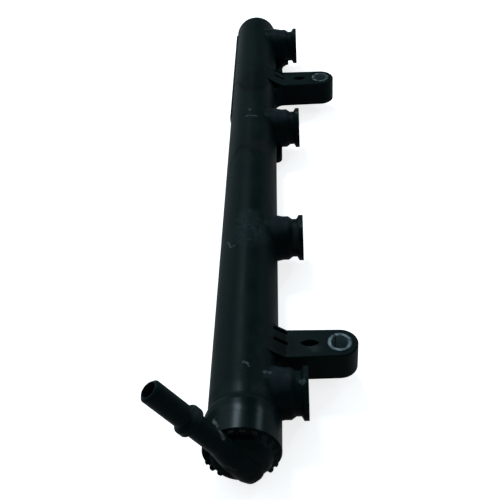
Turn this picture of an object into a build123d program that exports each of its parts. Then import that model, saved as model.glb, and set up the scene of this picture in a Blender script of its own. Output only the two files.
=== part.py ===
from build123d import *
from math import acos, atan2, cos, hypot, radians, sin, sqrt
import os

# Plastic fuel rail for a four-cylinder engine, in millimetres.
# The origin lies midway between the two bolt holes, on the plane where the steel
# bushes seat on the engine. +Z runs up the bolts, +X points at the injectors and
# +Y runs along the rail to its closed end.

# Layout
injector_count = 4
injector_pitch = 84.0        # from one injector to the next
bolt_spacing = 188.8         # between the two bolt holes
bolt_offset = 34.5           # from the rail axis out to the bolt line
rail_height = 8.0            # rail axis above the seat plane
first_injector_lead = 43.4   # first injector, beyond the rear bolt towards the closed end

# Moulded tube: tapered, so that it leaves its mould
closed_end_reach = 18.4      # closed end, beyond the first injector
inlet_end_reach = 17.4       # inlet end face, beyond the last injector
tube_closed_r = 10.8
tube_inlet_r = 12.35
tube_wall = 2.7
closed_end_wall = 3.2
closed_end_round = 3.6
round_steps = 3              # short cones that make up each turned round
bore_end_chamfer = 2.4

# Collar at the inlet end, thick enough for the welded cap
collar_r = 13.35
collar_length = 8.1
collar_cone_length = 3.0
socket_r = 10.6              # socket that the plug of the cap enters
socket_depth = 7.0

# Injector cups
cup_reach = 22.7             # rail axis to the mouth of the cup
cup_body_r = 9.2
cup_root_r = 9.9
cup_root_length = 3.4
cup_groove_r = 8.0
cup_groove_width = 1.8       # flat floor of the groove for the retaining clip
cup_body_flank = 1.7         # sloped side of the groove towards the tube
cup_rim_flank = 0.9          # sloped side of the groove towards the rim
cup_rim_r = 9.6
cup_rim_width = 1.8
cup_bore_r = 6.75            # sealing bore for the injector's O-ring
cup_bore_depth = 12.0
cup_mouth_flare = 1.1
feed_hole_r = 3.2

# Bolt arms
arm_clearance = 0.25         # underside of an arm above the seat plane
arm_height = 12.0
arm_root_half_width = 7.3
arm_end_r = 6.75
arm_root_fillet = 4.5
arm_root_inset = 0.2         # end of the root fillet inside the root's half width
arm_edge_chamfer = 0.5
saddle_foot = 15.0           # rail axis to the foot of the ramp up to the tube
pocket_length = 7.0          # lens-shaped core-out in the top of an arm
pocket_width = 3.2
pocket_depth = 3.5
pocket_draft = 12.0
pocket_centre = 23.6         # rail axis to the middle of the core-out
slit_count = 2               # narrow core-outs across the saddle of an arm
slit_width = 1.5
slit_pitch = 5.2
slit_start = 10.6            # rail axis to the near end of a slit
slit_end = 15.6
slit_floor = 1.3             # floor of a slit below the top of the arm

# Low webs on the injector side, level with the underside of the arms
web_thickness = 2.5
web_reach = 14.6             # rail axis to the free edge between first cup and arm
web_cup_reach = 18.0         # the same against the cup
web_cup_run = 7.0            # straight start of the edge beside the cup
web_sweep = 6.5              # length of the hollow sweep that follows
tab_reach = 14.0             # short web beside the second cup
tab_run = 18.5               # from the middle of the cup to the end of the tab
tab_round = 3.2

# Long pad on the side of the tube away from the injectors
pad_proud = 0.6
pad_width = 6.0
pad_length = 84.0
pad_lead = 9.5               # end of the pad beyond the first injector

# Welded inlet cap
weld_gap = 0.1               # plug of the cap inside its socket
flange_thickness = 7.0       # gripped while the cap is spun
plug_length = 6.2
tooth_places = 20            # driving teeth for the spin welder, evenly spaced
teeth_left_out = 4           # the teeth stop beside the barrel's round end
first_tooth_angle = 130.5    # from +X, turning down past the barrel
tooth_height = 2.3
tooth_inner_r = 10.3
tooth_outer_r = 12.5
tooth_angle = 9.0
tooth_tip_chamfer = 0.4
hub_base_r = 11.2
hub_top_r = 6.4              # flat top of the domed hub
hub_height = 5.6
barrel_lift = 3.6            # barrel axis in front of the flange
barrel_r = 5.4
barrel_end = 4.0             # middle of the barrel's round end, beyond the rail axis
barrel_length = 4.0          # from the rail axis to where the shoulder begins
shoulder_length = 8.0        # cone from the barrel down to the neck
spigot_angle = 55.0          # spigot above the side opposite the injectors
spigot_r = 3.94
spigot_reach = 44.9          # rail axis to the tip of the spigot
spigot_chamfer = 0.9
bead_r = 5.15
bead_centre = 26.4           # rail axis to the middle of the bead
bead_width = 4.2
bead_chamfer = 1.0
passage_r = 2.7              # fuel passage through the spigot
feed_r = 2.4                 # cross passage from the elbow to the plug
cap_bore_r = 6.0             # opening in the plug, towards the rail

# Rolled steel bushes
bush_r = 4.6
bush_wall = 1.4
bush_clearance = 0.02        # bush in the bore of its arm
bush_proud = 0.15            # bush above the top of the arm
bush_split = 0.45            # width of the slit
rear_split_angle = 200.0
front_split_angle = 118.0

# Hidden overlap of shapes that are joined into one moulding
overlap = 1.0

# Places that follow from the sizes above
rail_x = -bolt_offset
bolt_y = bolt_spacing / 2
bolt_ys = (bolt_y, -bolt_y)
first_cup_y = bolt_y + first_injector_lead
cup_ys = [first_cup_y - i * injector_pitch for i in range(injector_count)]
closed_y = first_cup_y + closed_end_reach
inlet_y = cup_ys[-1] - inlet_end_reach
collar_y = inlet_y + collar_length
arm_top = arm_clearance + arm_height
arm_bore_r = bush_r + bush_clearance
flange_front_y = inlet_y - flange_thickness
barrel_y = flange_front_y - barrel_lift
taper_end_y = closed_y - closed_end_round
tube_slope = (tube_inlet_r - tube_closed_r) / (taper_end_y - collar_y)


def tube_radius(y):
    """Outer radius of the tapered tube at a place along the rail."""
    return tube_closed_r + tube_slope * (taper_end_y - y)


def on_rail(shape):
    """Carry a shape from the Y axis onto the rail axis."""
    return Pos(rail_x, 0, rail_height) * shape


def turned(points, axis):
    """Solid turned about an axis from an outline in the XY plane."""
    return revolve(make_face(Polyline(*points, close=True)), axis=axis)


def quarter_round(middle_r, middle_s, reach_r, reach_s):
    """Outline points of a turned round, from its widest place to its end."""
    turns = [radians(90 * i / round_steps) for i in range(round_steps + 1)]
    return [(middle_r + reach_r * cos(turn), middle_s + reach_s * sin(turn)) for turn in turns]


# ---------------------------------------------------------------- rail body
def tube_outside():
    """Tapered tube with a rounded closed end and a collar at the inlet end."""
    outline = [
        (0, inlet_y),
        (collar_r, inlet_y),
        (collar_r, collar_y - collar_cone_length),
        (tube_inlet_r, collar_y),
    ]
    outline += quarter_round(tube_closed_r - closed_end_round, taper_end_y,
                             closed_end_round, closed_end_round)
    outline.append((0, closed_y))
    return turned(outline, Axis.Y)


def tube_inside():
    """Tapered bore with a chamfered end, and the socket for the cap."""
    bore_end = closed_y - closed_end_wall
    socket_y = inlet_y + socket_depth
    outline = [
        (0, bore_end),
        (tube_radius(bore_end) - tube_wall, bore_end),
        (tube_radius(socket_y) - tube_wall, socket_y),
        (socket_r, socket_y),
        (socket_r, inlet_y),
        (0, inlet_y),
    ]
    bore = turned(outline, Axis.Y)
    end_edge = bore.edges().filter_by(GeomType.CIRCLE).sort_by(Axis.Y)[-1]
    return chamfer(end_edge, bore_end_chamfer)


def cup_outside():
    """Injector cup with its clip groove, turned about the X axis from the rail axis."""
    rim_back = cup_reach - cup_rim_width
    groove_front = rim_back - cup_rim_flank
    groove_back = groove_front - cup_groove_width
    outline = [
        (0, 0),
        (0, cup_root_r),
        (tube_closed_r, cup_root_r),
        (tube_closed_r + cup_root_length, cup_body_r),
        (groove_back - cup_body_flank, cup_body_r),
        (groove_back, cup_groove_r),
        (groove_front, cup_groove_r),
        (rim_back, cup_rim_r),
        (cup_reach, cup_rim_r),
        (cup_reach, 0),
    ]
    return turned(outline, Axis.X)


def cup_inside():
    """Sealing bore with a lead-in for the O-ring, and the feed hole behind it."""
    floor = cup_reach - cup_bore_depth
    outline = [
        (0, 0),
        (0, feed_hole_r),
        (floor, feed_hole_r),
        (floor, cup_bore_r),
        (cup_reach - cup_mouth_flare, cup_bore_r),
        (cup_reach, cup_bore_r + cup_mouth_flare),
        (cup_reach, 0),
    ]
    return turned(outline, Axis.X)


def arm_shank():
    """Bolt arm from the rail axis to its rounded end, its upper edges chamfered."""
    root_x = -bolt_offset
    root = Line((root_x, arm_root_half_width), (root_x, -arm_root_half_width))
    plan = make_hull(Circle(arm_end_r).edges() + root.edges())
    arm = extrude(plan, arm_height)
    upper_edges = arm.edges().group_by(Axis.Z)[-1].filter_by(Axis.Y, reverse=True)
    return chamfer(upper_edges, arm_edge_chamfer)


def arm_flare(side):
    """Hollow flare between one side of an arm and the tube."""
    skin_x = tube_closed_r - overlap - bolt_offset
    end_x = tube_closed_r + arm_root_fillet - bolt_offset
    inner = side * (arm_root_half_width - overlap)
    side_y = side * (arm_root_half_width - arm_root_inset)
    foot = side_y + side * arm_root_fillet
    bend = arm_root_fillet * sqrt(0.5)
    plan = make_face(
        Polyline((end_x, side_y), (end_x, inner), (skin_x, inner), (skin_x, foot),
                 (end_x - arm_root_fillet, foot))
        + ThreePointArc((end_x - arm_root_fillet, foot),
                        (end_x - bend, foot - side * bend),
                        (end_x, side_y))
    )
    return extrude(plan, arm_height - arm_edge_chamfer)


def bolt_arm():
    """Bolt arm standing on the seat plane, flared at its root."""
    arm = arm_shank() + arm_flare(1) + arm_flare(-1)
    return Pos(0, 0, arm_clearance) * arm


def arm_saddle(y):
    """Straight ramp from the top of an arm up to the tube, which it meets tangentially."""
    skin_r = tube_radius(y)
    rise = arm_top - rail_height
    turn = atan2(rise, saddle_foot) + acos(skin_r / hypot(rise, saddle_foot))
    top = (skin_r * cos(turn), skin_r * sin(turn))
    outline = make_face(Polyline(top, (saddle_foot, rise), (saddle_foot, 0), (0, 0), close=True))
    width = 2 * (arm_root_half_width - arm_edge_chamfer)
    ramp = extrude(Plane.XZ * outline, width / 2, both=True)
    return Pos(rail_x, y, rail_height) * ramp


def arm_pocket(y):
    """Lens-shaped core-out in the top of an arm, narrowing as it goes down."""
    half = pocket_length / 2
    sag = pocket_width / 2
    arc_r = (half * half + sag * sag) / (2 * sag)
    lens = make_face(RadiusArc((-half, 0), (half, 0), arc_r)
                     + RadiusArc((half, 0), (-half, 0), arc_r))
    pocket = extrude(lens, -pocket_depth, taper=pocket_draft)
    return Pos(rail_x + pocket_centre, y, arm_top) * pocket


def arm_slits(y):
    """Narrow core-outs across the saddle, from the middle of the arm outwards."""
    height = tube_inlet_r
    slits = []
    for i in range(slit_count):
        slit = Box(slit_end - slit_start, slit_width, height,
                   align=(Align.MIN, Align.CENTER, Align.MIN))
        slits.append(Pos(rail_x + slit_start, y + i * slit_pitch, arm_top - slit_floor) * slit)
    return slits


def cup_web():
    """Low web from the first cup to the rear arm, swept in beside the cup."""
    edge_x = rail_x + web_reach
    cup_x = rail_x + web_cup_reach
    sweep_start = first_cup_y - web_cup_run
    sweep_end = sweep_start - web_sweep
    bend = 1 - sqrt(0.5)
    middle = (edge_x + bend * (cup_x - edge_x), sweep_start - bend * web_sweep)
    plan = make_face(
        Polyline((rail_x, first_cup_y), (cup_x, first_cup_y), (cup_x, sweep_start))
        + ThreePointArc((cup_x, sweep_start), middle, (edge_x, sweep_end))
        + Polyline((edge_x, sweep_end), (edge_x, bolt_y), (rail_x, bolt_y),
                   (rail_x, first_cup_y))
    )
    return Pos(0, 0, arm_clearance) * extrude(plan, web_thickness)


def cup_tab():
    """Short low web beside the second cup, with a rounded corner."""
    tab = Box(tab_reach, tab_run, web_thickness, align=(Align.MIN, Align.MAX, Align.MIN))
    corner = tab.edges().filter_by(Axis.Z).sort_by(Axis.X)[-2:].sort_by(Axis.Y)[0]
    return Pos(rail_x, cup_ys[1], arm_clearance) * fillet(corner, tab_round)


def side_pad():
    """Long pad that follows the tube on the side away from the injectors."""
    start_y = first_cup_y + pad_lead
    end_y = start_y - pad_length
    shell = turned([
        (0, start_y),
        (tube_radius(start_y) + pad_proud, start_y),
        (tube_radius(end_y) + pad_proud, end_y),
        (0, end_y),
    ], Axis.Y)
    block = Box(collar_r, pad_length, pad_width, align=(Align.MAX, Align.MAX, Align.CENTER))
    return on_rail(shell & Pos(0, start_y, 0) * block)


def rail_body():
    """Tube, collar, cups, arms, web, tab and pad: one moulding."""
    body = on_rail(tube_outside())
    for y in cup_ys:
        body += Pos(rail_x, y, rail_height) * cup_outside()
    for y in bolt_ys:
        body += Pos(0, y, 0) * bolt_arm()
        body += arm_saddle(y)
    body += cup_web()
    body += cup_tab()
    body += side_pad()
    body -= on_rail(tube_inside())
    for y in cup_ys:
        body -= Pos(rail_x, y, rail_height) * cup_inside()
    for y in bolt_ys:
        body -= Pos(0, y, arm_top / 2) * Cylinder(arm_bore_r, 2 * arm_top)
        body -= arm_pocket(y)
        for slit in arm_slits(y):
            body -= slit
    return body


# ---------------------------------------------------------------- inlet cap
def along_spigot(shape):
    """Stand a shape, made along +Z, on the rail axis and lay it along the spigot."""
    tilt = spigot_angle - 90
    return Pos(rail_x, barrel_y, rail_height) * Rot(0, tilt, 0) * shape


def tooth_ring():
    """Ring of driving teeth on the front of the flange, about the Y axis."""
    teeth = []
    step = 360 / tooth_places
    length = tooth_outer_r - tooth_inner_r
    breadth = 2 * tooth_outer_r * sin(radians(tooth_angle / 2))
    for i in range(tooth_places - teeth_left_out):
        tooth = Box(length, tooth_height, breadth,
                    align=(Align.MIN, Align.MAX, Align.CENTER))
        tip = tooth.edges().filter_by(Axis.X).sort_by(Axis.Y)[:2]
        tooth = chamfer(tip, tooth_tip_chamfer)
        angle = first_tooth_angle + step * i
        place = Rot(0, angle, 0) * Pos(tooth_inner_r, flange_front_y, 0)
        teeth.append(place * tooth)
    return teeth


def cap_outside():
    """Plug, flange and hub turned about the rail axis."""
    outline = [
        (0, inlet_y + plug_length),
        (socket_r - weld_gap, inlet_y + plug_length),
        (socket_r - weld_gap, inlet_y),
        (collar_r, inlet_y),
        (collar_r, flange_front_y),
    ]
    outline += quarter_round(hub_top_r, flange_front_y, hub_base_r - hub_top_r, -hub_height)
    outline.append((0, flange_front_y - hub_height))
    return turned(outline, Axis.Y)


def elbow_outside():
    """Blind barrel, shoulder, bead and spigot, turned about one axis."""
    bead_start = bead_centre - bead_width / 2
    bead_stop = bead_centre + bead_width / 2
    outline = [(0, -barrel_end - barrel_r)]
    outline += reversed(quarter_round(0, -barrel_end, barrel_r, -barrel_r)[:-1])
    outline += [
        (barrel_r, barrel_length),
        (spigot_r, barrel_length + shoulder_length),
        (spigot_r, bead_start),
        (bead_r - bead_chamfer, bead_start),
        (bead_r, bead_start + bead_chamfer),
        (bead_r, bead_stop - bead_chamfer),
        (bead_r - bead_chamfer, bead_stop),
        (spigot_r, bead_stop),
        (spigot_r, spigot_reach - spigot_chamfer),
        (spigot_r - spigot_chamfer, spigot_reach),
        (0, spigot_reach),
    ]
    face = make_face(Polyline(*[(r, 0, s) for r, s in outline], close=True))
    return revolve(face, axis=Axis.Z)


def inlet_cap():
    """Cap with its plug, driving teeth, elbow and spigot: one moulding."""
    cap = on_rail(cap_outside())
    for tooth in tooth_ring():
        cap += on_rail(tooth)
    cap += along_spigot(elbow_outside())
    plug_y = inlet_y + plug_length
    feed = Pos(rail_x, barrel_y, rail_height) * Rot(-90, 0, 0) * Cylinder(
        feed_r, plug_y - barrel_y, align=(Align.CENTER, Align.CENTER, Align.MIN))
    mouth = Pos(rail_x, plug_y, rail_height) * Rot(90, 0, 0) * Cylinder(
        cap_bore_r, plug_length + flange_thickness / 2,
        align=(Align.CENTER, Align.CENTER, Align.MIN))
    passage = Pos(0, 0, -barrel_end) * Cylinder(
        passage_r, barrel_end + spigot_reach, align=(Align.CENTER, Align.CENTER, Align.MIN))
    return cap - feed - mouth - along_spigot(passage)


# ---------------------------------------------------------------- bolt bushes
def bolt_bush(y, split_angle):
    """Rolled steel bush with its slit, standing on the seat plane."""
    height = arm_top + bush_proud
    ring = Cylinder(bush_r, height) - Cylinder(bush_r - bush_wall, height)
    slit = Box(2 * bush_r, bush_split, height, align=(Align.MIN, Align.CENTER, Align.CENTER))
    ring -= Rot(0, 0, split_angle) * slit
    return Pos(0, y, height / 2) * ring


nodes = {
    "rail_body": rail_body(),
    "inlet_cap": inlet_cap(),
    "rear_bolt_bush": bolt_bush(bolt_y, rear_split_angle),
    "front_bolt_bush": bolt_bush(-bolt_y, front_split_angle),
}

os.makedirs("parts", exist_ok=True)
for name, shape in nodes.items():
    export_step(shape, f"parts/{name}.step")
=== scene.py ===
from math import pi, radians

import bmesh
import bpy
from mathutils import Matrix, Vector


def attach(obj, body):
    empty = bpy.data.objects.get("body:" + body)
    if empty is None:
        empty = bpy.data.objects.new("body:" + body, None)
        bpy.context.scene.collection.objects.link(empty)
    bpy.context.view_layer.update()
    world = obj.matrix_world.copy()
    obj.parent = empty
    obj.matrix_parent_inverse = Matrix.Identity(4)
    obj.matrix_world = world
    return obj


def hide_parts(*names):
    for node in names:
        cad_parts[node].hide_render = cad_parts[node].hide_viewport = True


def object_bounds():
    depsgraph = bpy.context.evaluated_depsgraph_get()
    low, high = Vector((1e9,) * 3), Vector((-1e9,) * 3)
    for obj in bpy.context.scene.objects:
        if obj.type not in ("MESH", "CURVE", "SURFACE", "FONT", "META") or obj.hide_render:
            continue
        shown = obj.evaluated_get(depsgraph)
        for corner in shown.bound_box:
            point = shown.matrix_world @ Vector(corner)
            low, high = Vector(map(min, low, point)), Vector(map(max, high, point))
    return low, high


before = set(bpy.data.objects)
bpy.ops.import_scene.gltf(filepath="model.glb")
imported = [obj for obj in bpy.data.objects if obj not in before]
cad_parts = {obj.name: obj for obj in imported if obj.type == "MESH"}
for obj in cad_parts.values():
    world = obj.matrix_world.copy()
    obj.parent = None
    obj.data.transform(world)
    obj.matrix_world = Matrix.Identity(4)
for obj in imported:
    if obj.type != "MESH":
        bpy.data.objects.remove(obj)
cad_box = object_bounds()

# ---------------------------------------------------------------- rail body
# The rail is one moulding of black glass-filled nylon: tapered tube, collar, injector
# cups and bolt arms. It leaves the mould satin, with a fine grain, and years of handling
# have scuffed the top of the tube.
rail_axis_x = -0.0345
rail_axis_z = 0.008
closed_end_y = 0.152
merge_distance = 0.000002
flat_within = radians(0.5)
smooth_below = radians(20)
round_below = radians(33)


def moulding(node_name, piece_name, rounds_past_y):
    """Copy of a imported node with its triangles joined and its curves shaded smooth.

    Past a place along the rail the coarser steps of turned rounds are smoothed too.
    """
    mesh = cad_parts[node_name].data.copy()
    mesh.name = piece_name
    form = bmesh.new()
    form.from_mesh(mesh)
    bmesh.ops.remove_doubles(form, verts=form.verts, dist=merge_distance)
    bmesh.ops.dissolve_limit(form, angle_limit=flat_within, verts=form.verts,
                             edges=form.edges, use_dissolve_boundaries=False)
    bmesh.ops.triangulate(form, faces=form.faces, quad_method="BEAUTY", ngon_method="BEAUTY")
    for face in form.faces:
        face.smooth = True
    for edge in form.edges:
        in_round = min(end.co.y for end in edge.verts) > rounds_past_y
        edge.smooth = edge.calc_face_angle(0.0) < (round_below if in_round else smooth_below)
    form.to_mesh(mesh)
    form.free()
    if "custom_normal" in mesh.attributes:
        mesh.attributes.remove(mesh.attributes["custom_normal"])
    piece = bpy.data.objects.new(piece_name, mesh)
    bpy.context.scene.collection.objects.link(piece)
    flats = piece.modifiers.new("flats stay flat", "WEIGHTED_NORMAL")
    flats.keep_sharp = True
    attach(piece, "root")
    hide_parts(node_name)
    return piece


def dress(piece, material):
    """Give a piece one material all over."""
    piece.data.materials.clear()
    piece.data.materials.append(material)
    for face in piece.data.polygons:
        face.material_index = 0


class Wire:
    """One output in a material. Arithmetic on it adds the Math nodes."""

    def __init__(self, tree, socket=None):
        self.tree = tree
        self.socket = socket

    def node(self, kind, settings=None, inputs=None, output=0):
        """Add a node: its settings first, then the values or links of its sockets."""
        node = self.tree.nodes.new("ShaderNode" + kind)
        for name, value in (settings or {}).items():
            setattr(node, name, value)
        for name, value in (inputs or {}).items():
            if isinstance(value, Wire):
                self.tree.links.new(value.socket, node.inputs[name])
            else:
                node.inputs[name].default_value = value
        return Wire(self.tree, node.outputs[output])

    def maths(self, operation, *values):
        """A Math node on this number and others."""
        inputs = dict(enumerate((self,) + values))
        return self.node("Math", {"operation": operation}, inputs)

    def __add__(self, other):
        return self.maths("ADD", other)

    __radd__ = __add__

    def __mul__(self, other):
        return self.maths("MULTIPLY", other)

    __rmul__ = __mul__

    def __sub__(self, other):
        return self.maths("SUBTRACT", other)

    def __rsub__(self, other):
        return self.node("Math", {"operation": "SUBTRACT"}, {0: other, 1: self})

    def ease(self, low, high):
        """Smooth step from 0 at low to 1 at high."""
        return self.node("MapRange", {"interpolation_type": "SMOOTHSTEP"},
                         {"Value": self, "From Min": low, "From Max": high})

    def mix(self, first, second):
        """Colour between two others, with this number as the share of the second."""
        return self.node("Mix", {"data_type": "RGBA"}, {0: self, 6: first, 7: second}, 2)

    def axis(self, name):
        """One coordinate of this vector."""
        return self.node("SeparateXYZ", inputs={0: self}, output=name)

    def vector(self, operation, other, output=0):
        """A Vector Math node on this vector and another."""
        return self.node("VectorMath", {"operation": operation}, {0: self, 1: other}, output)

    def scaled(self, factor):
        """This vector times a number."""
        return self.node("VectorMath", {"operation": "SCALE"}, {0: self, "Scale": factor})

    def mapped(self, scale, rotation=(0, 0, 0)):
        """This place stretched and turned, for a pattern that runs one way."""
        return self.node("Mapping", inputs={"Vector": self, "Rotation": rotation, "Scale": scale})

    def noise(self, scale, detail=2.0, roughness=0.5, distortion=0.0, output=0):
        """Noise over this place."""
        return self.node("TexNoise", inputs={"Vector": self, "Scale": scale, "Detail": detail,
                                             "Roughness": roughness, "Distortion": distortion},
                         output=output)


def new_finish(name):
    """Start a material and return it with its shader and an empty wire."""
    material = bpy.data.materials.new(name)
    material.use_nodes = True
    shader = material.node_tree.nodes["Principled BSDF"]
    return material, shader, Wire(material.node_tree)


def connect(shader, links):
    """Link wires into sockets of a shader."""
    for name, wire in links.items():
        wire.tree.links.new(wire.socket, shader.inputs[name])


def near_line(place, start, end, reach):
    """Mask of a thin line between two points."""
    run = Vector(end) - Vector(start)
    offset = place.vector("SUBTRACT", start)
    share = offset.vector("DOT_PRODUCT", tuple(run / run.length_squared), "Value")
    share = share.maths("MAXIMUM", 0.0).maths("MINIMUM", 1.0)
    foot = place.node("VectorMath", {"operation": "SCALE"}, {0: tuple(run), "Scale": share})
    return 1 - offset.vector("DISTANCE", foot, "Value").ease(reach * 0.4, reach)


def around(place, centre, reach):
    """Mask of a soft round patch about a point."""
    return 1 - place.vector("DISTANCE", centre, "Value").ease(reach * 0.45, reach)


def band(distance, inner, outer):
    """Mask that is 1 within the inner distance either way and 0 past the outer."""
    return 1 - distance.maths("ABSOLUTE").ease(inner, outer)


def ragged_offset(place, scale, detail, roughness, throw):
    """Random offset that frays the edge of a mask when it is added to the place."""
    noise = place.noise(scale, detail, roughness, output="Color")
    return noise.vector("SUBTRACT", (0.5, 0.5, 0.5)).scaled(throw)


def turn_about_rail(place):
    """Angle about the tube's axis, 0 on top and positive towards the injectors."""
    across = place.axis("X") - rail_axis_x
    above = place.axis("Z") - rail_axis_z
    return across.maths("ARCTAN2", above)


# Hands have polished the top of the collar and its injector side, not its other flank.
polished_turn = (-0.80, -0.32)
polish_share = 0.11
polish_rough = 0.27
flank_rough = 0.55


def handled(place):
    """1 on top of the collar and towards the injectors, 0 on its other flank."""
    return turn_about_rail(place).ease(*polished_turn)


# A lit copy of the nylon for faces that turn up, and a darker copy, painted shade, for faces that
# turn down or aside.
nylon_shaded = (0.0016, 0.0048, 0.0054, 1)
nylon_lit = (0.0012, 0.0054, 0.0054, 1)
nylon_lit_pale = (0.0030, 0.0084, 0.0080, 1)
dust_colour = (0.014, 0.023, 0.023, 1)
dust_share = 0.3
worn_colour = (0.012, 0.018, 0.019, 1)
worn_bend = (0.03, 0.14)
edge_round = 0.00022
nylon_gloss = 0.032
nylon_rough = 0.28
mottle_scale = 90.0
streak_scale = (420.0, 30.0, 420.0)
speck_scale = 900.0
grain_scale = 2600.0
bump_height = 0.00004
bump_strength = 0.5
weld_y = -0.1316
weld_half_width = 0.00030
weld_depth = 1.2


def moulded_nylon(name, marks, edge_wear):
    """Black nylon: flow mottling, dust on top, pale worn edges, fine grain, and painted shade on
    faces that turn down.
    """
    material, shader, start = new_finish(name)
    place = start.node("TexCoord", output="Object")
    normal = start.node("NewGeometry", output="Normal")
    upward = normal.axis("Z")

    mottle = place.noise(mottle_scale, 5.0, 0.62)
    streaks = place.mapped(streak_scale).noise(1.0, 3.0)
    grain = place.noise(grain_scale)
    speck = place.noise(speck_scale, 3.0, 0.7)

    rounded = start.node("Bevel", {"samples": 4}, {"Radius": edge_round})
    facing = rounded.vector("DOT_PRODUCT", normal, "Value")
    worn_edge = (1 - facing).ease(*worn_bend) * speck.ease(0.38, 0.62)

    cloud = mottle.ease(0.35, 0.68) * 0.6 + streaks.ease(0.4, 0.7) * 0.4
    lit_colour = cloud.mix(nylon_lit, nylon_lit_pale)
    # Faces that turn away from the top take the darker copy: painted shade.
    colour = upward.ease(-0.1, 0.75).mix(nylon_shaded, lit_colour)
    dust = upward.ease(0.55, 1.0) * speck.ease(0.52, 0.72) * mottle.ease(0.42, 0.66)
    colour = (dust * dust_share).mix(colour, dust_colour)
    colour = (worn_edge * edge_wear).mix(colour, worn_colour)
    rough = nylon_rough + mottle.ease(0.3, 0.7) * 0.05
    rough = rough + streaks.ease(0.35, 0.7) * 0.04 + dust * 0.15
    height = grain * 0.35 + speck * 0.25 + mottle * 0.6

    seam = band(place.axis("Y") - weld_y, weld_half_width * 0.3, weld_half_width)
    height = height - seam * weld_depth

    colour, rough, height, polish = marks(place, colour, rough, height)
    bump = start.node("Bump", inputs={"Strength": bump_strength, "Distance": bump_height,
                                      "Height": height, "Normal": rounded})
    shader.inputs["Specular IOR Level"].default_value = nylon_gloss
    shader.inputs["Coat Roughness"].default_value = polish_rough
    connect(shader, {"Base Color": colour, "Roughness": rough, "Normal": bump,
                     "Coat Weight": polish * handled(place) * polish_share})
    return material


# The mould's surface is smooth on the collar and finely grained on the tube and cups.
# A pair of places is a soft limit, where a mask goes from 0 at the first to 1.
grain_ends_y = (-0.1245, -0.1165)
grain_starts_x = (-0.0245, -0.0205)
grained_rough = 0.12
rail_edge_wear = 0.22

# The ledge above the collar and the shoulder just past it took less of the polish, and the ledge
# is painted dark with the shaded nylon: painted shade where the tube steps out to the collar.
ledge_y = -0.1238
ledge_half_width = (0.0003, 0.0014)
ledge_share = 0.25
ledge_rough = 0.20
shoulder_ends_y = (-0.1298, -0.1280)
shoulder_starts_y = (-0.1165, -0.1238)
shoulder_dull = 0.75

# The tube is scuffed by the third cup, in swirls and in rubbed hairlines.
abraded_centre = (-0.0330, -0.0395, 0.0195)
abraded_reach = 0.0100
rub_centre = (-0.0345, -0.0290, 0.0195)
rub_reach = 0.0065
hair_turn = radians(38)
hair_scale = (1500.0, 130.0, 600.0)
swirl_scale = 520.0
scuff_pale = (0.022, 0.033, 0.038, 1)
scuff_share = 0.45
scuff_rough = 0.08
scuff_depth = 1.5

# Round gate marks, chips and short scratch lines: places in the rail's frame, and sizes.
# All pale spots but the one at the rear gate mark are painted glints, on the cup rims and
# beside the fourth cup, and the last two lines are a painted glint on the front gate mark's rim.
gate_marks = ((-0.0355, 0.0536, 0.0193), (-0.0340, -0.1121, 0.0203))
gate_radius = 0.0021
gate_step = 0.00030
gate_depth = 3.0
glint_and_chip_spots = (
    ((-0.0268, -0.1126, 0.0178), 0.0012), ((-0.0250, -0.1129, 0.0178), 0.0010),
    ((-0.0355, 0.0541, 0.0193), 0.0010), ((-0.0138, -0.1167, 0.0169), 0.0014),
    ((-0.0146, -0.1155, 0.0161), 0.0010), ((-0.0120, -0.0335, 0.0170), 0.0013),
    ((-0.0130, 0.0530, 0.0176), 0.0012), ((-0.0118, 0.1352, 0.0172), 0.0012),
)
scratch_and_glint_lines = (
    ((-0.0423, -0.0425, 0.0168), (-0.0412, -0.0462, 0.0178), 0.0007),
    ((-0.0410, -0.0466, 0.0179), (-0.0394, -0.0466, 0.0189), 0.0005),
    ((-0.0373, 0.0489, 0.0189), (-0.0325, 0.0482, 0.0192), 0.0007),
    ((-0.0340, -0.1099, 0.0202), (-0.0330, -0.1103, 0.0201), 0.0007),
    ((-0.0330, -0.1103, 0.0201), (-0.0320, -0.1118, 0.0200), 0.0006),
)
chip_and_glint_pale = (0.090, 0.115, 0.120, 1)
chip_and_glint_share = 0.34
fray_share = 0.28

# Soft round marks: centre, reach, share and colour of an oil stain, of a place where the
# melt ran cold, of painted shade at the front arm's root, where its pockets lie deep, and of
# a painted highlight on the lip of that arm's pocket.
knit_teal = (0.0003, 0.0026, 0.0024, 1)
stains_and_light_patches = (
    ((-0.0290, 0.0240, 0.0180), 0.0065, 0.55, (0.011, 0.009, 0.009, 1)),
    ((-0.0345, 0.0830, 0.0180), 0.0130, 0.6, knit_teal),
    # painted shade at the front arm's root
    ((-0.0212, -0.0955, 0.0138), 0.0072, 0.8, (0.0013, 0.0028, 0.0022, 1)),
    # painted highlight on the lip of the front arm's pocket
    ((-0.0095, -0.0972, 0.0122), 0.0030, 0.6, (0.0200, 0.0270, 0.0210, 1)),
)

# The roots of the cups carry a painted bluish highlight, and a painted reflection lies pale
# along the third cup's groove.
root_from_x = (-0.0262, -0.0232)
root_to_x = (-0.0190, -0.0165)
root_from_z = (0.0148, 0.0168)
root_highlight_blue = (0.0130, 0.0175, 0.0225, 1)
root_highlight_share = 0.6
groove_start = (-0.0142, -0.0315, 0.0170)
groove_end = (-0.0146, -0.0390, 0.0100)
groove_reach = 0.0024
groove_reflection_pale = (0.026, 0.028, 0.028, 1)
groove_reflection_share = 0.45

# Lines where the melt met: place along the rail, turn of the foremost point, how fast
# the line falls back beside it, how far it goes at most, and the turn where it ends.
knit_lines = ((0.0735, 0.0, 0.020, 0.014, 0.9), (0.0235, -0.35, -0.030, 0.008, 0.2))
knit_half_width = 0.0042
knit_fades = (0.8, 1.2)
knit_end_fade = 0.15
knit_share = 0.75
knit_rough = 0.10


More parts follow.
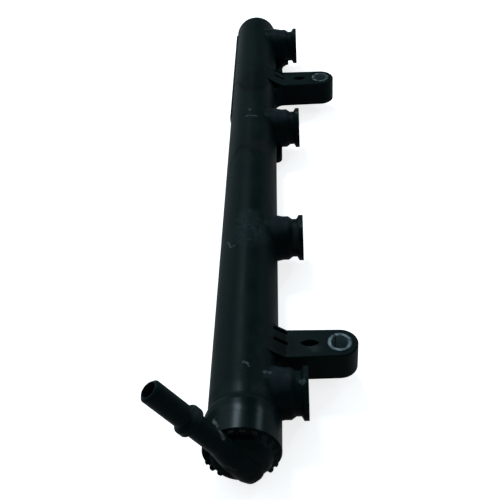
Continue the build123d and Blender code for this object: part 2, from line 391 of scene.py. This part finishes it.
def tube_marks(place, colour, rough, height):
    """Scuffs, chips, stains, gate marks, the lines where the melt met, and painted shade, glints
    and reflections.
    """
    along = place.axis("Y")
    outward = place.axis("X")
    shift = ragged_offset(place, 380.0, 4.0, 0.65, 0.007)
    torn = place.vector("ADD", shift)
    frayed = place.vector("ADD", shift.scaled(fray_share))

    hairs = place.mapped(hair_scale, (0, 0, hair_turn)).noise(1.0).ease(0.52, 0.66)
    swirls = torn.noise(swirl_scale, 3.0, distortion=1.4).ease(0.44, 0.58)
    abraded = around(torn, abraded_centre, abraded_reach) * (0.10 + swirls * 0.90)
    rubbed = around(torn, rub_centre, rub_reach) * (0.2 + hairs * 0.4 + swirls * 0.4)
    scuff = abraded.maths("MAXIMUM", rubbed)
    colour = (scuff * scuff_share).mix(colour, scuff_pale)
    height = height - scuff * scuff_depth

    matt = along.ease(*grain_ends_y).maths("MAXIMUM", outward.ease(*grain_starts_x))
    rough = rough + matt * grained_rough + scuff * scuff_rough
    ledge = band(along - ledge_y, *ledge_half_width)
    # Painted shade along the ledge.
    colour = (ledge * ledge_share).mix(colour, nylon_shaded)
    rough = rough + ledge * ledge_rough

    for centre in gate_marks:
        distance = place.vector("DISTANCE", centre, "Value")
        sunk = 1 - distance.ease(gate_radius - gate_step, gate_radius + gate_step)
        height = height - sunk * gate_depth
    # Pale chips and painted glints.
    chips_and_glints = [around(frayed, centre, reach) for centre, reach in glint_and_chip_spots]
    chips_and_glints += [near_line(frayed, start, end, reach) for start, end, reach in scratch_and_glint_lines]
    for mark in chips_and_glints:
        colour = (mark * chip_and_glint_share).mix(colour, chip_and_glint_pale)
    for centre, reach, share, tint in stains_and_light_patches:
        colour = (around(torn, centre, reach) * share).mix(colour, tint)

    # Painted highlight on the tops of the cups' roots.
    root = outward.ease(*root_from_x) * (1 - outward.ease(*root_to_x))
    root = root * place.axis("Z").ease(*root_from_z) * (0.8 + swirls * 0.2)
    colour = (root * root_highlight_share).mix(colour, root_highlight_blue)
    # Painted reflection along the third cup's groove.
    groove = near_line(frayed, groove_start, groove_end, groove_reach)
    colour = (groove * groove_reflection_share).mix(colour, groove_reflection_pale)

    angle = turn_about_rail(place)
    on_top = band(angle, *knit_fades)
    wandering = frayed.axis("Y")
    for line_y, turn, bow, most, right_end in knit_lines:
        turned = angle - turn
        rise = (turned * turned * bow).maths("MINIMUM", most)
        knit = band(wandering - line_y - rise, 0.0, knit_half_width) * on_top
        knit = knit * (1 - angle.ease(right_end - knit_end_fade, right_end + knit_end_fade))
        colour = (knit * knit_share).mix(colour, knit_teal)
        rough = rough + knit * knit_rough

    shoulder = along.ease(*shoulder_ends_y) * along.ease(*shoulder_starts_y)
    polish = (1 - matt) * (1 - ledge * 0.8) * (1 - shoulder * shoulder_dull)
    rough = rough + polish * (1 - handled(place)) * flank_rough
    return colour, rough, height, polish


rail = moulding("rail_body", "rail_moulding", closed_end_y)
dress(rail, moulded_nylon("rail_nylon", tube_marks, rail_edge_wear))

# ---------------------------------------------------------------- inlet cap
# The cap is a second nylon moulding: plug, flange with driving teeth, hub and elbow.
# A spin welder grips it by the teeth and fuses it into the open end of the tube.
all_rounds_y = -1.0
cap_edge_wear = 0.04
elbow_starts_y = (-0.1388, -0.1402)
elbow_rough = 0.05

# The ring of teeth is dull. Its colour is painted shade, dark where the hub's shade falls
# and painted lighter, as painted light, where that shade opens towards the injectors.
# Its limits are distances from the rail's axis and places along it.
ring_inner_r = (0.0096, 0.0102)
ring_outer_r = (0.0128, 0.0131)
ring_back_y = (-0.1383, -0.1387)
ring_front_y = (-0.1416, -0.1411)
recess_y = (-0.1400, -0.1392)
tooth_top_r = (0.0121, 0.0124)
open_side_x = (0.0030, 0.0085)
tooth_shade = (0.0008, 0.0014, 0.0015, 1)
recess_shade = (0.0085, 0.0112, 0.0116, 1)
open_recess_lit = (0.0150, 0.0205, 0.0215, 1)
open_tooth_lit = (0.0065, 0.0095, 0.0100, 1)
ring_rough = 0.60

# The hub is dull low down on the side away from the injectors.
hub_low_z = (0.0090, 0.0125)
hub_side_x = (-0.0395, -0.0365)
hub_rough = 0.50

# A painted highlight runs along the lower edge of the elbow in short straight steps, and
# two short painted glints lie where the neck meets the collar.
elbow_glint_steps = ((-0.0469, -0.1386, 0.0101), (-0.0447, -0.1412, 0.0110), (-0.0414, -0.1460, 0.0136),
              (-0.0390, -0.1470, 0.0127), (-0.0360, -0.1476, 0.0110))
glint_step_reach = 0.00045
glint_step_pale = (0.045, 0.052, 0.046, 1)
glint_step_share = 0.6
neck_glint_lines = (((-0.0433, -0.1335, 0.0181), (-0.0420, -0.1364, 0.0189)),
              ((-0.0413, -0.1409, 0.0242), (-0.0393, -0.1430, 0.0216)))
neck_glint_reach = 0.00100
neck_glint_pale = (0.095, 0.100, 0.080, 1)
neck_glint_share = 0.8

# The inner wall at the spigot's bore end is painted lighter, as painted light, and the bead
# carries a painted highlight on its side that faces up.
bore_start = (-0.05974, -0.1422, 0.04404)
bore_end = (-0.0563, -0.1422, 0.03913)
bore_reach = 0.0038
bore_light_teal = (0.010, 0.018, 0.023, 1)
bore_light_share = 0.8
bead_centre = (-0.0462, -0.1419, 0.0333)
bead_reach = 0.0040
bead_highlight_pale = (0.016, 0.019, 0.021, 1)
bead_highlight_share = 0.7


def cap_marks(place, colour, rough, height):
    """Dull ring of teeth with painted shade and light, painted glints on the elbow, and painted
    light on the spigot.
    """
    torn = place.vector("ADD", ragged_offset(place, 900.0, 3.0, 0.6, 0.0022))
    broken = 0.35 + place.noise(500.0).ease(0.38, 0.60) * 0.65
    along = place.axis("Y")
    outward = place.axis("X")
    elbow = along.ease(*elbow_starts_y)

    flattened = place.vector("MULTIPLY", (1.0, 0.0, 1.0))
    from_axis = flattened.vector("DISTANCE", (rail_axis_x, 0.0, rail_axis_z), "Value")
    ring = from_axis.ease(*ring_inner_r) * along.ease(*ring_back_y)
    ring = ring * (1 - from_axis.ease(*ring_outer_r)) * along.ease(*ring_front_y)
    # Painted shade in the ring of teeth, and painted light on its open side.
    shaded = along.ease(*recess_y).mix(tooth_shade, recess_shade)
    open_side_lit = from_axis.ease(*tooth_top_r).mix(open_recess_lit, open_tooth_lit)
    opening = (outward - rail_axis_x).ease(*open_side_x)
    colour = ring.mix(colour, opening.mix(shaded, open_side_lit))

    dull_hub = (1 - place.axis("Z").ease(*hub_low_z)) * (1 - outward.ease(*hub_side_x)) * elbow
    rough = rough + elbow * elbow_rough + ring * ring_rough + dull_hub * hub_rough

    # Painted highlight along the elbow's lower edge and painted glints by the neck.
    for start, end in zip(elbow_glint_steps, elbow_glint_steps[1:]):
        line = near_line(torn, start, end, glint_step_reach) * broken
        colour = (line * glint_step_share).mix(colour, glint_step_pale)
    for start, end in neck_glint_lines:
        flash = near_line(torn, start, end, neck_glint_reach) * broken
        colour = (flash * neck_glint_share).mix(colour, neck_glint_pale)
    # Painted light inside the bore, and a painted highlight on the bead.
    mouth = near_line(place, bore_start, bore_end, bore_reach)
    colour = (mouth * bore_light_share).mix(colour, bore_light_teal)
    colour = (around(torn, bead_centre, bead_reach) * bead_highlight_share).mix(colour, bead_highlight_pale)
    rough = rough + (1 - elbow) * (1 - handled(place)) * flank_rough
    return colour, rough, height, 1 - elbow


cap = moulding("inlet_cap", "cap_moulding", all_rounds_y)
dress(cap, moulded_nylon("cap_nylon", cap_marks, cap_edge_wear))

# ---------------------------------------------------------------- bolt bushes
# Each bush is rolled from steel strip, zinc plated and pressed into its arm. The slit
# where the strip's ends meet stays open, and the bolt head has polished the upper edge,
# more so at the rear.
bush_top = 0.0124
bolt_y = 0.0944
pressed_r = 0.0043
edge_soft = 0.0001
rear_from_y = (-0.01, 0.01)
steel_dark = (0.046, 0.058, 0.062, 1)
steel_pale = (0.115, 0.135, 0.140, 1)
rear_dark = (0.080, 0.098, 0.104, 1)
rear_pale = (0.210, 0.240, 0.248, 1)
steel_dull = (0.110, 0.170, 0.190, 1)
steel_shadow = (0.010, 0.015, 0.017, 1)
cloud_scale = 700.0
rolled_scale = (300.0, 300.0, 9000.0)
steel_bump_height = 0.00002
steel_bump_strength = 0.35
side_metal = 0.35


def zinc_steel():
    """Zinc plate over rolled steel: bright upper end, dull and cloudy sides."""
    material, shader, start = new_finish("zinc_steel")
    place = start.node("TexCoord", output="Object")
    cloud = place.noise(cloud_scale, 4.0)
    rolled = place.mapped(rolled_scale).noise(1.0)
    polished = place.axis("Z").ease(bush_top - 3 * edge_soft, bush_top - edge_soft)
    folded = start.node("VectorMath", {"operation": "ABSOLUTE"}, {0: place})
    folded = folded.vector("MULTIPLY", (1.0, 1.0, 0.0))
    from_bolt = folded.vector("DISTANCE", (0.0, bolt_y, 0.0), "Value")
    pressed = 1 - from_bolt.ease(pressed_r - edge_soft, pressed_r + edge_soft)
    patchy = cloud.ease(0.3, 0.7)
    rear = place.axis("Y").ease(*rear_from_y)
    bright = rear.mix(patchy.mix(steel_dark, steel_pale), patchy.mix(rear_dark, rear_pale))
    colour = polished.mix(steel_dull, pressed.mix(steel_shadow, bright))
    rough = 0.50 - polished * 0.20 + cloud.ease(0.35, 0.7) * 0.12
    bump = start.node("Bump", inputs={"Strength": steel_bump_strength,
                                      "Distance": steel_bump_height,
                                      "Height": rolled + cloud * 0.5})
    connect(shader, {"Base Color": colour, "Roughness": rough, "Normal": bump,
                     "Metallic": side_metal + polished * (1 - side_metal)})
    return material


bush_steel = zinc_steel()
for side in ("rear", "front"):
    bush = moulding(side + "_bolt_bush", side + "_bush", all_rounds_y)
    dress(bush, bush_steel)

# ---------------------------------------------------------------- table and surround
# A white table under the rail and a white surround: both look plain white to the
# camera, and the rail's shadow stays on the table.
table_half = 1.6
table_gap = 0.0002
table_grey = (0.35, 0.35, 0.35, 1)
table_white = (0.66, 0.66, 0.66, 1)
table_glow = (0.77, 0.77, 0.77, 1)
table_rough = 0.9
no_glow = (0.0, 0.0, 0.0, 1)
glossy_share = 0.25


def seen_share(start):
    """1 where the view meets the surface, less in gloss reflections, 0 for soft light."""
    straight = start.node("LightPath", output="Is Camera Ray")
    through = start.node("LightPath", output="Is Transmission Ray")
    glossy = start.node("LightPath", output="Is Glossy Ray")
    return straight.maths("MAXIMUM", through).maths("MAXIMUM", glossy * glossy_share)


def table():
    """Large flat sheet just under the lowest point of the rail."""
    form = bmesh.new()
    bmesh.ops.create_grid(form, x_segments=1, y_segments=1, size=table_half)
    drop = Matrix.Translation((0, 0, cad_box[0][2] - table_gap))
    bmesh.ops.transform(form, matrix=drop, verts=form.verts)
    mesh = bpy.data.meshes.new("table")
    form.to_mesh(mesh)
    form.free()
    piece = bpy.data.objects.new("table", mesh)
    bpy.context.scene.collection.objects.link(piece)
    material, shader, start = new_finish("table_white")
    seen = seen_share(start)
    connect(shader, {"Base Color": seen.mix(table_grey, table_white),
                     "Emission Color": seen.mix(no_glow, table_glow)})
    shader.inputs["Emission Strength"].default_value = 1.0
    shader.inputs["Roughness"].default_value = table_rough
    shader.inputs["Specular IOR Level"].default_value = 0.0
    mesh.materials.append(material)


table()

room_level = 0.36
room_white = (1.0, 1.0, 1.0, 1)
room_cool = (0.82, 0.95, 1.0, 1)
ceiling_height = (0.08, 0.35)
ceiling_dim = 0.47
world = bpy.data.worlds.new("surround")
bpy.context.scene.world = world
world.use_nodes = True
air = Wire(world.node_tree)
background = world.node_tree.nodes["Background"]
skyward = air.node("TexCoord", output="Generated").axis("Z")
in_gloss = air.node("LightPath", output="Is Glossy Ray")
ceiling = in_gloss * skyward.ease(*ceiling_height) * ceiling_dim
room_colour = air.node("LightPath", output="Is Camera Ray").mix(room_cool, room_white)
room_light = room_level + seen_share(air) * (1 - room_level) - ceiling
connect(background, {"Color": room_colour, "Strength": room_light})

# ---------------------------------------------------------------- lamps
# Three soft oblong lamps of cool daylight: a window beyond the closed end, for the
# collar's highlight, a large soft box on the side away from the injectors, and a small
# lamp on the injectors' side.
daylight = (0.68, 0.89, 1.0)


def lamp(name, aim, direction, distance, width, length, power):
    """Soft oblong lamp that stands off a point of the rail and faces it."""
    light = bpy.data.lights.new(name, "AREA")
    light.shape = "RECTANGLE"
    light.size = width
    light.size_y = length
    light.energy = power
    light.color = daylight
    stand = bpy.data.objects.new(name, light)
    outward = Vector(direction).normalized()
    stand.location = Vector(aim) + outward * distance
    stand.rotation_euler = outward.to_track_quat("Z", "Y").to_euler()
    bpy.context.scene.collection.objects.link(stand)


lamp("window", aim=(-0.035, -0.125, 0.02), direction=(-0.20, 0.64, 0.74),
     distance=1.2, width=0.26, length=0.24, power=7.0)
lamp("soft_box", aim=(-0.035, 0.0, 0.01), direction=(-0.75, 0.35, 0.56),
     distance=1.5, width=1.7, length=1.7, power=10.0)
lamp("side_lamp", aim=(-0.027, -0.133, 0.019), direction=(0.62, 0.62, 0.48),
     distance=1.2, width=0.09, length=0.20, power=1.6)

# ---------------------------------------------------------------- camera
# The camera stands in front of the inlet, above the rail, and looks down its length.
camera_place = (-0.01421, -0.31139, 0.24636)
camera_yaw = 0.07249
camera_pitch = 0.71438
camera_roll = -0.07645
sensor_width = 36.0
focal_length = 62.85

view = bpy.data.cameras.new("view")
view.sensor_width = sensor_width
view.lens = focal_length
view.clip_start = 0.01
eye = bpy.data.objects.new("view", view)
turn = Matrix.Rotation(camera_yaw, 4, "Z") @ Matrix.Rotation(pi / 2 - camera_pitch, 4, "X")
turn = turn @ Matrix.Rotation(camera_roll, 4, "Z")
eye.matrix_world = Matrix.Translation(camera_place) @ turn
bpy.context.scene.collection.objects.link(eye)
bpy.context.scene.camera = eye
bpy.context.scene.view_settings.view_transform = "Standard"
